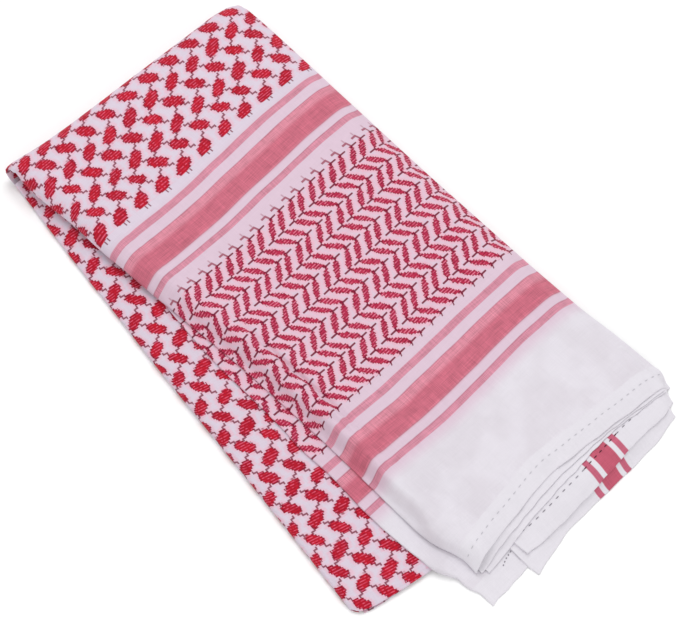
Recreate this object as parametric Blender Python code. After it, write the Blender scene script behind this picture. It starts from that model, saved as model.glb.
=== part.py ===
"""Keffiyeh: a square cotton headscarf, folded into a strip, doubled over and laid flat.

The cloth is stacked as it is folded. The lower half of the strip lies on the surface, fanned
out a little. The upper half lies on it, and its plies fan out at the hems. The outer ply runs
round the fold end. Every layer rests on those under it, so its height comes from their plans
and walls. +X runs from the fold end to the hems, +Y across the strip, +Z up. The origin is the
middle of the footprint, on the surface. The tables are in millimetres.
"""
import math

import bpy

MM = 0.001

# Driving sizes, in millimetres
PLY = 1.0               # wall of one ply of cloth
GAP = 0.3               # between two pieces at a seam
AIR = 0.42              # between two layers of the stack
HEM_DEPTH = 11.5        # turned hem, from its stitch line to its edge
HEM_EXTRA = 0.4         # what the turned-under edge adds to the wall
HEM_RAMP = 4.0          # over which the cloth thickens towards its hem
STRIP_WIDTH = 148.0     # one eighth of the cloth
NOSE_REACH = 9.0        # the fold end, from where it starts to turn to its tip
TURN_STEPS = 8          # flats round the fold end
SHOULDER = 1.5          # how far a layer fully holds up the next one beyond its own edge
SOFT_REACH = 20.0       # over which a layer then settles past an edge below it
LOWER_FAR_REACH = 32.0  # the same past the lower half's far edge
LEFT_ROLL = 15.0        # width over which the stack's near edge rounds down
RIGHT_ROLL = 11.0       # the same on its far edge
RIGHT_SIDE = 0.42       # share of the stack's height left at its far edge
CORE_INSET_LEFT = 3.6   # inner plies, in from the top panel's near edge
CORE_INSET_RIGHT = 3.0  # and in from its far edge
CORE_LEAST = 0.6        # thinnest stretch of the inner plies
BEAD = 0.9              # how far a folded inner ply bulges at the stack's far side

# The lower half lies turned about its corner at the fold end
LOWER_CORNER = (-161.6, -52.4)
LOWER_TURN = math.radians(-9.75)

# The fold end: its tip along X, for each place across the strip
FOLD_TIP = (
    # across, along
    (-54.0, -166.8), (-36.0, -163.9), (-20.0, -162.7), (0.0, -162.0), (30.0, -161.3),
    (60.0, -160.6), (80.0, -160.3), (92.0, -159.2), (100.0, -157.0),
)

# Long edges of the top panel
TOP_LEFT = (
    # along, across
    (-166.0, -51.4), (-134.0, -50.4), (-93.0, -49.6), (-50.0, -49.2), (0.0, -48.4),
    (50.0, -48.5), (90.0, -49.8), (112.0, -51.0), (127.0, -51.2), (137.0, -47.5), (150.0, -44.8),
)
TOP_RIGHT = (
    # along, across
    (-166.0, 97.4), (-150.0, 99.6), (-130.0, 98.4), (-94.0, 96.2), (-58.0, 93.6),
    (-23.0, 92.1), (26.0, 91.4), (75.0, 90.3), (120.0, 91.2), (136.0, 91.0), (150.0, 88.4),
)
TOP_HEM = (
    # across, along
    (-44.7, 148.2), (-29.5, 143.4), (-11.0, 141.2), (9.7, 138.6), (44.0, 141.0),
    (60.0, 142.2), (80.0, 143.2), (89.0, 144.6),
)

# The second panel stands out from under the top one, along its near edge and at its hem
SECOND_LEFT = (
    # along, across
    (-166.0, -46.0), (-110.0, -45.5), (-62.0, -49.0), (-32.0, -54.2), (0.0, -57.2),
    (46.0, -58.0), (94.0, -58.8), (131.0, -58.2), (144.0, -54.6), (162.0, -50.2),
)
SECOND_RIGHT = (
    # along, across
    (-166.0, 92.0), (-100.0, 91.0), (0.0, 86.0), (100.0, 83.0), (162.0, 78.0),
)
SECOND_HEM = (
    # across, along
    (-52.0, 162.2), (-38.0, 161.2), (-25.0, 160.2), (0.0, 157.5), (40.0, 156.5), (80.0, 153.0),
)

# Shorter stretches of cloth that fan out at the hems, from the lowest up
LOWEST_LEFT = ((60.0, -26.0), (161.0, -25.0), (167.0, -24.2))
LOWEST_RIGHT = ((60.0, 86.0), (130.0, 84.0), (157.0, 80.2))
LOWEST_HEM = (
    # across, along
    (-24.0, 166.2), (-12.5, 163.7), (-1.0, 161.3), (7.0, 160.7), (26.0, 160.5),
    (46.0, 160.3), (64.0, 159.4), (80.0, 156.6),
)
THIRD_LEFT = ((60.0, -24.0), (150.0, -22.2), (158.0, -21.5))
THIRD_RIGHT = ((60.0, 88.0), (130.0, 87.5), (152.0, 85.0))
THIRD_HEM = (
    # across, along
    (-22.0, 156.6), (-10.0, 157.6), (6.0, 157.2), (25.0, 156.4), (45.0, 154.9),
    (56.0, 153.9), (76.0, 153.2), (85.0, 151.0),
)
FOURTH_HEM = (
    # across, along
    (-40.0, 152.6), (-29.0, 151.0), (-11.0, 149.2), (10.0, 148.0), (44.0, 148.2),
    (60.0, 148.8), (85.0, 148.0),
)
FIFTH_HEM = (
    # across, along
    (-42.0, 150.4), (-29.0, 147.2), (-11.0, 145.4), (10.0, 143.6), (44.0, 144.8),
    (60.0, 145.6), (87.0, 146.8),
)
# Where each of these stretches starts, under the plies above it
LOWEST_START = 104.0
THIRD_START = 108.0
FOURTH_START = 112.0
FIFTH_START = 116.0
CORE_END = 122.0        # the inner plies stop here, and the stretches above them go on

# The lower half, in its own turned frame: its free end and its near edge
LOWER_END = (
    # across, along
    (-1.0, 277.0), (1.5, 283.0), (3.9, 285.8), (11.7, 288.0), (26.5, 289.1), (43.0, 289.3),
    (148.0, 288.0),
)
LOWER_LEFT = (
    # along, across
    (0.0, 0.0), (40.0, -0.1), (90.0, 0.2), (145.0, -1.2), (205.0, -0.9), (250.0, 0.2),
    (290.0, 0.2),
)

# Height of the inner plies of each half along the strip
LOWER_CORE_RISE = (
    # along, rise
    (0.0, 3.3), (60.0, 3.0), (140.0, 2.5), (220.0, 1.6), (290.0, 0.6),
)
CREST = (
    # along, height of the inner plies' top
    (-160.0, 14.3), (-120.0, 14.7), (-60.0, 14.6), (0.0, 14.4), (45.0, 14.1), (75.0, 13.7),
    (92.0, 12.7), (102.0, 11.3), (112.0, 9.7), (125.0, 8.6),
)
# Broad, soft unevenness of the stack's top
SWELLS = (
    # along, across, half length, half width, turn in degrees, rise
    (-120.0, 40.0, 60.0, 26.0, 12.0, 0.45),
    (-40.0, 60.0, 70.0, 20.0, -8.0, -0.40),
    (-10.0, 0.0, 60.0, 22.0, 20.0, 0.40),
    (70.0, 35.0, 50.0, 24.0, -30.0, -0.35),
    (95.0, -15.0, 45.0, 15.0, 35.0, 0.40),
)

# Colours of the cloth: plain white, inner plies, striped panels, check panels
WHITE = (0.86, 0.85, 0.87)
PALE = (0.82, 0.76, 0.80)
ROSE = (0.80, 0.42, 0.50)
RED = (0.76, 0.28, 0.34)


def mix(first, second, share):
    return first + (second - first) * share


def clamp(value, low=0.0, high=1.0):
    return min(max(value, low), high)


def ease(share):
    """Soft step from 0 to 1."""
    share = clamp(share)
    return share * share * (3.0 - 2.0 * share)


def swing(share):
    """Quarter sine from 0 to 1: how the edge of a stack rounds over."""
    return math.sin(math.pi / 2.0 * clamp(share))


def read(table, place):
    """Read a two-column table along a smooth curve through its rows."""
    if place <= table[0][0]:
        return table[0][1]
    if place >= table[-1][0]:
        return table[-1][1]
    index = max(i for i in range(len(table) - 1) if table[i][0] <= place)

    def slope(row):
        before = table[max(row - 1, 0)]
        after = table[min(row + 1, len(table) - 1)]
        return (after[1] - before[1]) / (after[0] - before[0])

    (x0, y0), (x1, y1) = table[index], table[index + 1]
    width = x1 - x0
    t = (place - x0) / width
    leaving = y0 + width * slope(index) * t * (1.0 - t) * (1.0 - t)
    arriving = y1 - width * slope(index + 1) * (1.0 - t) * t * t
    return mix(leaving, arriving, ease(t))


def swell(x, y):
    """Rise of the soft unevenness at one place on top of the stack."""
    total = 0.0
    for along, across, half_length, half_width, turn, rise in SWELLS:
        angle = math.radians(turn)
        u = (x - along) * math.cos(angle) + (y - across) * math.sin(angle)
        v = (y - across) * math.cos(angle) - (x - along) * math.sin(angle)
        total += rise * math.exp(-(u / half_length) ** 2 - (v / half_width) ** 2)
    return total


def turned_place(along, across):
    """From the lower half's own frame to the surface."""
    c, s = math.cos(LOWER_TURN), math.sin(LOWER_TURN)
    return (LOWER_CORNER[0] + along * c - across * s,
            LOWER_CORNER[1] + along * s + across * c)


def fold_turn(across):
    """Where the cloth starts to turn round the fold end."""
    return read(FOLD_TIP, across) + NOSE_REACH


def find_lower_start(across):
    """Where the lower half starts, in its own frame: just clear of the fold end."""
    along = 0.0
    for _ in range(4):
        x, y = turned_place(along, across)
        along += fold_turn(y) + GAP - x
    return along


LOWER_START = [(across, find_lower_start(across)) for across in range(-2, 150, 10)]


def lower_start(across):
    return read(LOWER_START, across)


def lower_left(along):
    return read(LOWER_LEFT, along)


def one_ply(x, y):
    return PLY


class Layer:
    """A stretch of cloth in the stack: its plan, its wall and how it holds up the next."""

    def __init__(self, left, right, start, end, thickness=one_ply, near_reach=SOFT_REACH,
                 far_reach=SOFT_REACH, turned=False, hem=False):
        self.left = left
        self.right = right
        self.start = start
        self.end = end
        self.thickness = thickness
        self.near_reach = near_reach
        self.far_reach = far_reach
        self.turned = turned
        self.hem = hem

    def to_own(self, x, y):
        """A place on the surface, in the layer's own along and across."""
        if not self.turned:
            return x, y
        dx, dy = x - LOWER_CORNER[0], y - LOWER_CORNER[1]
        c, s = math.cos(LOWER_TURN), math.sin(LOWER_TURN)
        return dx * c + dy * s, dy * c - dx * s

    def to_surface(self, along, across):
        return turned_place(along, across) if self.turned else (along, across)

    def ends(self, v):
        """Where the layer starts and stops along the strip, at share v of its width."""
        limits = []
        for edge, guess in ((self.start, -150.0), (self.end, 150.0)):
            along = guess
            for _ in range(3):
                along = edge(mix(self.left(along), self.right(along), v))
            limits.append(along)
        return limits

    def beyond(self, x, y):
        """How far a place is past the plan: 0 inside, 1 where the layer holds up nothing."""
        along, across = self.to_own(x, y)
        left, right = self.left(along), self.right(along)
        near = max(left - across - SHOULDER, 0.0) / self.near_reach
        far = max(across - right - SHOULDER, 0.0) / self.far_reach
        start = self.start(clamp(across, left, right))
        end = self.end(clamp(across, left, right))
        ahead = max(start - along - SHOULDER, along - end - SHOULDER, 0.0) / SOFT_REACH
        return math.hypot(near + far, ahead)

    def wall(self, x, y):
        """Thickness at a place, with what the turned hem adds."""
        thickness = self.thickness(x, y)
        if self.hem:
            along, across = self.to_own(x, y)
            inside = self.end(across) - along
            thickness += HEM_EXTRA * ease((HEM_DEPTH + HEM_RAMP - inside) / HEM_RAMP)
        return thickness

    def lift(self, x, y):
        """How much the layer raises what lies over this place."""
        share = 1.0 - ease(self.beyond(x, y))
        return (self.wall(x, y) + AIR) * share if share > 0.0 else 0.0


def stack_height(layers, x, y):
    return sum(layer.lift(x, y) for layer in layers)


def lower_core_wall(x, y):
    """Inner plies of the lower half: they thin towards the near edge and the free end."""
    edge_wall, near_share, roll = 0.3, 0.45, 8.0
    along, across = lower_flap.to_own(x, y)
    near = ease((across - lower_left(along)) / roll)
    return edge_wall + (read(LOWER_CORE_RISE, along) - edge_wall) * mix(near_share, 1.0, near)


def upper_core_wall(x, y):
    """Inner plies of the upper half: up to a crest, and rounded down at both long edges."""
    left = swing((y - read(TOP_LEFT, x)) / LEFT_ROLL)
    right = mix(RIGHT_SIDE, 1.0, swing((read(TOP_RIGHT, x) - y) / RIGHT_ROLL))
    crest = read(CREST, x) + swell(x, y)
    return max((crest - stack_height(UNDER_CORE, x, y)) * left * right, CORE_LEAST)


# The stack, from the surface up
underside = Layer(
    left=lambda a: lower_left(a) + 3.5, right=lambda a: STRIP_WIDTH - 1.0,
    start=lower_start, end=lambda c: read(LOWER_END, c) + 1.2 - ease(c / 40.0) * 2.2,
    near_reach=2.0, far_reach=LOWER_FAR_REACH, turned=True)
lower_core = Layer(
    left=lambda a: lower_left(a) + 5.0, right=lambda a: STRIP_WIDTH - 3.0,
    start=lower_start, end=lambda c: read(LOWER_END, c) - 4.0,
    thickness=lower_core_wall, near_reach=4.0, far_reach=LOWER_FAR_REACH, turned=True)
lower_flap = Layer(
    left=lower_left, right=lambda a: STRIP_WIDTH,
    start=lower_start, end=lambda c: read(LOWER_END, c),
    far_reach=LOWER_FAR_REACH, turned=True)
second_panel = Layer(
    left=lambda a: read(SECOND_LEFT, a), right=lambda a: read(SECOND_RIGHT, a),
    start=lambda c: fold_turn(c) + GAP, end=lambda c: read(SECOND_HEM, c), hem=True)
lowest_stretch = Layer(
    left=lambda a: read(LOWEST_LEFT, a), right=lambda a: read(LOWEST_RIGHT, a),
    start=lambda c: LOWEST_START, end=lambda c: read(LOWEST_HEM, c), hem=True)
third_stretch = Layer(
    left=lambda a: read(THIRD_LEFT, a), right=lambda a: read(THIRD_RIGHT, a),
    start=lambda c: THIRD_START, end=lambda c: read(THIRD_HEM, c), hem=True)
UNDER_CORE = (underside, lower_core, lower_flap, second_panel, lowest_stretch, third_stretch)
upper_core = Layer(
    left=lambda a: read(TOP_LEFT, a) + CORE_INSET_LEFT,
    right=lambda a: read(TOP_RIGHT, a) - CORE_INSET_RIGHT,
    start=lambda c: fold_turn(c) + GAP, end=lambda c: CORE_END,
    thickness=upper_core_wall, near_reach=9.0)
fourth_stretch = Layer(
    left=lambda a: read(TOP_LEFT, a) + 5.0, right=lambda a: read(TOP_RIGHT, a) - 4.0,
    start=lambda c: FOURTH_START, end=lambda c: read(FOURTH_HEM, c), near_reach=12.0)
fifth_stretch = Layer(
    left=lambda a: read(TOP_LEFT, a) + 2.5, right=lambda a: read(TOP_RIGHT, a) - 2.0,
    start=lambda c: FIFTH_START, end=lambda c: read(FIFTH_HEM, c), near_reach=12.0)
top_panel = Layer(
    left=lambda a: read(TOP_LEFT, a), right=lambda a: read(TOP_RIGHT, a),
    start=fold_turn, end=lambda c: read(TOP_HEM, c), hem=True)
STACK = UNDER_CORE + (upper_core, fourth_stretch, fifth_stretch, top_panel)


def below_of(layer):
    return STACK[:STACK.index(layer)]


def even_shares(count):
    return [i / count for i in range(count + 1)]


def close_at_edges(count, near_extra, far_extra):
    """Shares across a panel, closer together over its rounded long edges."""
    pitch, least = 0.02, 0.009
    shares = even_shares(count)
    shares += [pitch * i for i in range(1, near_extra + 1)]
    shares += [1.0 - pitch * i for i in range(1, far_extra + 1)]
    kept = []
    for share in sorted(shares):
        if not kept or share - kept[-1] > least:
            kept.append(share)
    return kept


def close_at_end(length, close_length, step, close_step):
    """Shares along a layer: wide rows first, close ones over its last stretch."""
    wide_rows = math.ceil((length - close_length) / step)
    close_rows = math.ceil(close_length / close_step)
    change = (length - close_length) / length
    shares = [change * i / wide_rows for i in range(wide_rows)]
    return shares + [mix(change, 1.0, share) for share in even_shares(close_rows)]


def layer_rows(layer, along_shares, across_shares, only_last=0.0, short_by=0.0):
    """Upper and lower points of a layer, row by row towards its end.

    only_last keeps that much of its end alone; short_by stops it that much early, for a seam.
    """
    upper, lower = [], []
    below = below_of(layer)
    for u in along_shares:
        top_row, bottom_row = [], []
        for v in across_shares:
            start, end = layer.ends(v)
            along = mix(end - only_last if only_last else start, end - short_by, u)
            across = mix(layer.left(along), layer.right(along), v)
            x, y = layer.to_surface(along, across)
            z = stack_height(below, x, y)
            bottom_row.append((x, y, z))
            top_row.append((x, y, z + layer.wall(x, y)))
        upper.append(top_row)
        lower.append(bottom_row)
    return upper, lower


def rim(rows):
    """The border of a grid, once round: start row, far edge, end row, near edge."""
    far = [row[-1] for row in rows[1:]]
    end = list(reversed(rows[-1][:-1]))
    near = [row[0] for row in reversed(rows[1:-1])]
    return list(rows[0]) + far + end + near


def add_object(name, points, faces, colour):
    """Make the named object, in metres, with its own cloth material."""
    mesh = bpy.data.meshes.new(name)
    mesh.from_pydata([[value * MM for value in point] for point in points], [], faces)
    mesh.update()
    mesh.shade_smooth()
    mesh.set_sharp_from_angle(angle=math.radians(50.0))
    material = bpy.data.materials.new(name + "_cotton")
    material.use_nodes = True
    shader = material.node_tree.nodes["Principled BSDF"]
    shader.inputs["Base Color"].default_value = (*colour, 1.0)
    shader.inputs["Roughness"].default_value = 0.85
    shader.inputs["Metallic"].default_value = 0.0
    mesh.materials.append(material)
    bpy.context.scene.collection.objects.link(bpy.data.objects.new(name, mesh))


def add_sheet(name, upper, lower, colour, beads=0):
    """Close two matching grids into one solid; beads bulge its far side like folded plies."""
    points, faces = [], []

    def add(point):
        points.append(point)
        return len(points) - 1

    top = [[add(point) for point in row] for row in upper]
    bottom = [[add(point) for point in row] for row in lower]
    for i in range(len(top) - 1):
        for j in range(len(top[0]) - 1):
            faces.append((top[i][j], top[i + 1][j], top[i + 1][j + 1], top[i][j + 1]))
            faces.append((bottom[i][j], bottom[i][j + 1], bottom[i + 1][j + 1],
                          bottom[i + 1][j]))
    far_first = len(upper[0])
    far_last = far_first + len(upper) - 2
    rings = [rim(top)]
    for level in range(1, 2 * beads):
        share = level / (2.0 * beads)
        bulge = BEAD if level % 2 else 0.0
        ring = []
        for place, (above, under) in enumerate(zip(rim(upper), rim(lower))):
            x, y, z = (mix(high, low, share) for high, low in zip(above, under))
            ring.append(add((x, y + bulge * (far_first <= place < far_last), z)))
        rings.append(ring)
    rings.append(rim(bottom))
    for upper_ring, lower_ring in zip(rings, rings[1:]):
        for k in range(len(upper_ring)):
            after = (k + 1) % len(upper_ring)
            faces.append((upper_ring[k], upper_ring[after], lower_ring[after], lower_ring[k]))
    add_object(name, points, faces, colour)


def make_layer(name, layer, along_shares, across_shares, colour, beads=0):
    upper, lower = layer_rows(layer, along_shares, across_shares)
    add_sheet(name, upper, lower, colour, beads)


def make_hem(name, layer, across_shares):
    """The turned edge of a layer, from its stitch line out."""
    upper, lower = layer_rows(layer, even_shares(2), across_shares, only_last=HEM_DEPTH)
    add_sheet(name, upper, lower, WHITE)


def make_hemmed_layer(name, layer, along_shares, across_shares, colour):
    """A stretch of cloth and its turned hem, as two solids that meet at the stitch line."""
    upper, lower = layer_rows(layer, along_shares, across_shares, short_by=HEM_DEPTH + GAP)
    add_sheet(name, upper, lower, colour)
    make_hem(name + "_hem", layer, across_shares)


def turn_rows(across_shares, inset):
    """Rows round the fold end, from top to bottom; inset 0 is its outer face."""
    rows = []
    for step in range(TURN_STEPS + 1):
        angle = math.pi * step / TURN_STEPS
        row = []
        for v in across_shares:
            start = top_panel.ends(v)[0]
            y = mix(top_panel.left(start), top_panel.right(start), v)
            height = stack_height(below_of(top_panel), start, y) + PLY
            x = start - (NOSE_REACH - inset) * math.sin(angle)
            row.append((x, y, height / 2.0 + (height / 2.0 - inset) * math.cos(angle)))
        rows.append(row)
    return rows


def make_top_panel(across_shares):
    """The outer ply: from its hem over the stack, round the fold end and down to the surface."""
    upper, lower = layer_rows(top_panel, close_at_end(282.0, 46.0, 13.0, 5.2), across_shares,
                              short_by=HEM_DEPTH + GAP)
    outside = turn_rows(across_shares, 0.0)
    inside = turn_rows(across_shares, PLY)
    add_sheet("top_panel", outside[:0:-1] + upper, inside[:0:-1] + lower, ROSE)
    make_hem("top_panel_hem", top_panel, across_shares)


def make_fold_core(across_shares):
    """Inner plies nested inside the fold end: a half-round bar with a flat inner face."""
    rows = turn_rows(across_shares, PLY + GAP)
    width, count = len(across_shares), len(rows)
    points = [point for row in rows for point in row]
    faces = []
    for i in range(count):
        here, after = i * width, (i + 1) % count * width
        for j in range(width - 1):
            faces.append((here + j, here + j + 1, after + j + 1, after + j))
    faces.append(tuple(i * width for i in range(count)))
    faces.append(tuple(i * width + width - 1 for i in reversed(range(count))))
    add_object("fold_end_inner_plies", points, faces, PALE)


for old in list(bpy.data.objects):
    bpy.data.objects.remove(old, do_unlink=True)

even = even_shares(17)
over_edges = close_at_edges(16, 6, 4)
over_near_edge = close_at_edges(8, 6, 0)
make_layer("underside_ply", underside, close_at_end(290.0, 30.0, 65.0, 15.0), even, RED)
make_layer("lower_inner_plies", lower_core, close_at_end(290.0, 40.0, 30.0, 14.0),
           over_near_edge, PALE, beads=1)
make_layer("lower_flap", lower_flap, close_at_end(290.0, 40.0, 18.0, 10.0), over_near_edge, RED)
make_hemmed_layer("second_panel", second_panel, close_at_end(300.0, 46.0, 18.0, 5.6), even, ROSE)
make_hemmed_layer("lowest_stretch", lowest_stretch, close_at_end(46.0, 36.0, 9.0, 5.0), even,
                  WHITE)
make_hemmed_layer("third_stretch", third_stretch, close_at_end(38.0, 30.0, 9.0, 5.0), even, WHITE)
make_layer("upper_inner_plies", upper_core, close_at_end(278.0, 40.0, 14.0, 7.0), over_edges,
           PALE, beads=3)
make_layer("fourth_stretch", fourth_stretch, even_shares(8), over_edges, WHITE)
make_layer("fifth_stretch", fifth_stretch, even_shares(7), over_edges, WHITE)
make_fold_core(over_edges[2:-1])
make_top_panel(over_edges)
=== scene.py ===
import math

import bpy
import numpy as np
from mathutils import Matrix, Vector
from mathutils.bvhtree import BVHTree


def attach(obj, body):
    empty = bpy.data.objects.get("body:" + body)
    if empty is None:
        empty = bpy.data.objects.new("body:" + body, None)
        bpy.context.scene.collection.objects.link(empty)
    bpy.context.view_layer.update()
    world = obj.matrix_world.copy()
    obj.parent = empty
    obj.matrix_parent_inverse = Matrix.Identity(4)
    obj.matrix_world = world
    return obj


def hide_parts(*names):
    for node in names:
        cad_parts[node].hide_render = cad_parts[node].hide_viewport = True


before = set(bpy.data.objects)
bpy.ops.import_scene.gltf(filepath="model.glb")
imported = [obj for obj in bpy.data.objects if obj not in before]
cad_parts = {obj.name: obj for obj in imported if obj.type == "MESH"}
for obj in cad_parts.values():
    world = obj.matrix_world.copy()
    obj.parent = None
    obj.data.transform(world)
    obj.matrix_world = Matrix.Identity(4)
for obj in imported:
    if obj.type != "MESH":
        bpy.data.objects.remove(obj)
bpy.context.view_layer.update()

# Underside ply. The lower half of the folded scarf lies on the surface, and this is its lowest
# ply: thin woven cotton with the red net, laid flat. It carries everything else.
MM = 0.001
CLOTH = 0.36                  # thickness of the woven cotton, in millimetres
LOWER_CORNER = (-161.6, -52.4)
LOWER_TURN = math.radians(-9.75)
STRIP_WIDTH = 148.0
FOLD_REACH = 9.0              # from where the cloth starts to turn at the fold end to its tip
FOLD_CLEAR = 0.3              # between the fold end and the plies that start inside it
FOLD_TIP = ((-54, -166.8), (-36, -163.9), (-20, -162.7), (0, -162.0), (30, -161.3), (60, -160.6),
            (80, -160.3), (92, -159.2), (100, -157.0))
LOWER_END = ((1.5, 279.5), (4, 285.0), (6.5, 287.3), (14, 288.8), (28, 289.3), (43, 289.3),
             (148, 288.0))
LOWER_NEAR = ((0, 0.0), (40, -0.1), (72, -0.1), (97, 0.5), (121, 0.6), (145, 1.0), (169, 1.6),
              (193, 2.2), (216, 2.5), (238, 2.8), (260, 3.0), (290, 3.1))


def curve(table, places):
    """A two-column table in millimetres, read along a smooth curve through its rows."""
    rows = np.array(table, float)
    x, y = rows[:, 0], rows[:, 1]
    slope = np.gradient(y, x)
    slope[1:-1] = (y[2:] - y[:-2]) / (x[2:] - x[:-2])
    place = np.clip(np.asarray(places, float), x[0], x[-1])
    i = np.clip(np.searchsorted(x, place, "right") - 1, 0, len(x) - 2)
    width = x[i + 1] - x[i]
    t = (place - x[i]) / width
    leaving = y[i] + width * slope[i] * t * (1 - t) ** 2
    arriving = y[i + 1] - width * slope[i + 1] * (1 - t) * t * t
    return leaving + (arriving - leaving) * t * t * (3 - 2 * t)


def edge(table, shift=0.0):
    """One edge of a stretch of cloth, from a table or at a plain number, moved by a shift."""
    if isinstance(table, float):
        return lambda place: 0 * place + table + shift
    return lambda place: curve(table, place) + shift


def turned(along, across):
    """From the lower half's own directions to the surface, in millimetres."""
    c, s = math.cos(LOWER_TURN), math.sin(LOWER_TURN)
    return (LOWER_CORNER[0] + along * c - across * s, LOWER_CORNER[1] + along * s + across * c)


def lower_start(across):
    """Where the lower half starts, just clear of the fold end."""
    along = np.zeros_like(np.asarray(across, float))
    for _ in range(5):
        x, y = turned(along, across)
        along = along + curve(FOLD_TIP, y) + FOLD_REACH + FOLD_CLEAR - x
    return along


class Form:
    """Solids or finished pieces that a cloth follows or lies on, as heights in millimetres."""

    def __init__(self, *parts):
        points, faces = [], []
        for part in parts:
            mesh = (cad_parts[part] if isinstance(part, str) else part).data
            first = len(points)
            points += [vertex.co / MM for vertex in mesh.vertices]
            faces += [[first + v for v in polygon.vertices] for polygon in mesh.polygons]
        self.tree = BVHTree.FromPolygons(points, faces)

    def heights(self, x, y, below=False, level=None):
        """Height of the top, or of the underside, at each place of a grid. Past the edge of
        the solids it is the level that is given, or else it carries on as it was."""
        start, way = (-50.0, Vector((0, 0, 1))) if below else (90.0, Vector((0, 0, -1)))
        found = np.full(x.shape, np.nan)
        for place in np.ndindex(x.shape):
            hit = self.tree.ray_cast(Vector((x[place], y[place], start)), way)[0]
            if hit is not None:
                found[place] = hit.z
        if level is not None:
            return np.where(np.isnan(found), level, found)
        for row in found:
            known = np.flatnonzero(~np.isnan(row))
            if len(known):
                row[:] = np.interp(np.arange(len(row)), known, row[known])
        for column in found.T:
            known = np.flatnonzero(~np.isnan(column))
            column[:] = np.interp(np.arange(len(column)), known, column[known])
        return found


def relax(heights, passes):
    """Evens out the flats of a solid into one soft surface."""
    for _ in range(passes):
        for axis in (0, 1):
            moved = np.swapaxes(np.pad(heights, [(1 - axis, 1 - axis), (axis, axis)], "edge"),
                                0, axis)
            between = np.swapaxes(moved[:-2] + moved[2:], 0, axis)
            heights = 0.5 * heights + 0.25 * between
    return heights


def plan(start, end, left, right, rows, columns, place=lambda a, c: (a, c)):
    """A grid over a stretch of cloth, from the shares of its length and of its width."""
    u, v = np.meshgrid(rows, columns, indexing="ij")
    along = 300.0 * u - 150.0
    for _ in range(6):
        across = left(along) + (right(along) - left(along)) * v
        along = start(across) + (end(across) - start(across)) * u
    return along, across, *place(along, across)


def steps(length, pitch):
    """Even shares of a length, about one pitch apart."""
    return np.linspace(0, 1, int(round(length / pitch)) + 1)


def edged_steps(length, pitch, edge, edge_pitch):
    """Shares of a width that are closer together near both of its edges."""
    near = np.arange(0, edge, edge_pitch) / length
    middle = near[-1] + edge_pitch / length
    inner = np.linspace(middle, 1 - middle, int(round(length * (1 - 2 * middle) / pitch)) + 1)
    return np.concatenate([near, inner, 1 - near[::-1]])


def lip(heights, shares, length, reach, drop):
    """Bends the long edges of a grid down a little, as cloth lies that turns under there."""
    inward = np.minimum(shares, 1 - shares) * length
    bend = np.clip(1 - inward / reach, 0, 1)
    return heights - drop * (1 - np.sqrt(np.clip(1 - bend ** 2, 0, 1)))


def turn_under(points, reach, radius):
    """Carries a grid on past its last row: round a fold, and back under itself for the reach."""
    out = points[-1] - points[-2]
    out /= np.linalg.norm(out, axis=-1, keepdims=True)
    up = np.cross(out, np.gradient(points[-1], axis=0))
    up *= np.sign(up[..., 2:3]) / np.linalg.norm(up, axis=-1, keepdims=True)
    turn = [points[-1] + radius * (out * math.sin(a) + up * (math.cos(a) - 1))
            for a in (math.pi * step / 5 for step in range(1, 6))]
    pace = np.linalg.norm(points[-1] - points[-2], axis=-1).mean()
    back = [points[-1 - row] - 2 * radius * up for row in range(1, int(round(reach / pace)) + 1)]
    return np.concatenate([points, turn, back])


SIDE_STEP = 0.8               # between the rows of a long side's under ply
WIDEST_TURN = 2.0             # largest radius of a folded long side


def fold_side(points, along, across, near, low, reach):
    """Carries a grid on past one long side: round a fold, down to a height and level back."""
    flip = slice(None, None, -1 if near else 1)
    grid, along, across = (v.swapaxes(0, 1)[flip] for v in (points, along, across))
    last = grid[-1]
    out = last - grid[-3]
    level = out * (1, 1, 0)
    level /= np.linalg.norm(level, axis=-1, keepdims=True)
    slope = np.arctan2(-out[:, 2], np.hypot(out[:, 0], out[:, 1]))
    low = np.maximum(np.broadcast_to(low, slope.shape), CLOTH / 2)
    radius = np.clip((last[:, 2] - low) / (1 + np.cos(slope)), 0.05, WIDEST_TURN)
    for _ in range(6):
        slope, radius = (np.convolve(np.pad(v, 1, "edge"), (0.25, 0.5, 0.25), "valid")
                         for v in (slope, radius))
    strip = []
    for share in np.linspace(0, 1, 8)[1:]:
        angle = slope + (math.pi - slope) * share
        place = last + level * (radius * (np.sin(angle) - np.sin(slope)))[:, None]
        place[:, 2] -= radius * (np.cos(slope) - np.cos(angle))
        strip.append(place)
    strip += [strip[-1] - level * back for back in np.arange(SIDE_STEP, reach, SIDE_STEP)]
    paces = np.linalg.norm(np.diff([last, *strip], axis=0), axis=-1)
    way = np.sign(across[-1] - across[-2])
    across = np.concatenate([across, across[-1] + way * np.cumsum(paces, 0)])
    along = np.concatenate([along, np.repeat(along[-1:], len(strip), 0)])
    grid = np.concatenate([grid, strip])
    return tuple(v[flip].swapaxes(0, 1) for v in (grid, along, across))


def settle(heights, below, from_edge, reach, lift):
    """Lets the edge of a sheet down onto what lies below it."""
    share = np.clip(1 - from_edge / reach, 0, 1)
    share = share * share * (3 - 2 * share)
    return heights + share * (relax(below, 2) + lift - heights)


def run(points, axis, reference):
    """Distance over the cloth along one direction of a grid, from a reference row or column."""
    move = np.linalg.norm(np.diff(points, axis=axis), axis=-1)
    zero = np.zeros_like(np.take(move, [0], axis))
    total = np.concatenate([zero, np.cumsum(move, axis)], axis)
    return total - np.take(total, [reference], axis)


def weave_places(points, row, column):
    """How far along and across the cloth each point of a grid is, measured over its surface."""
    return (points[row, :, 0][None, :] + run(points, 0, row),
            points[:, column, 1][:, None] + run(points, 1, column))


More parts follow.
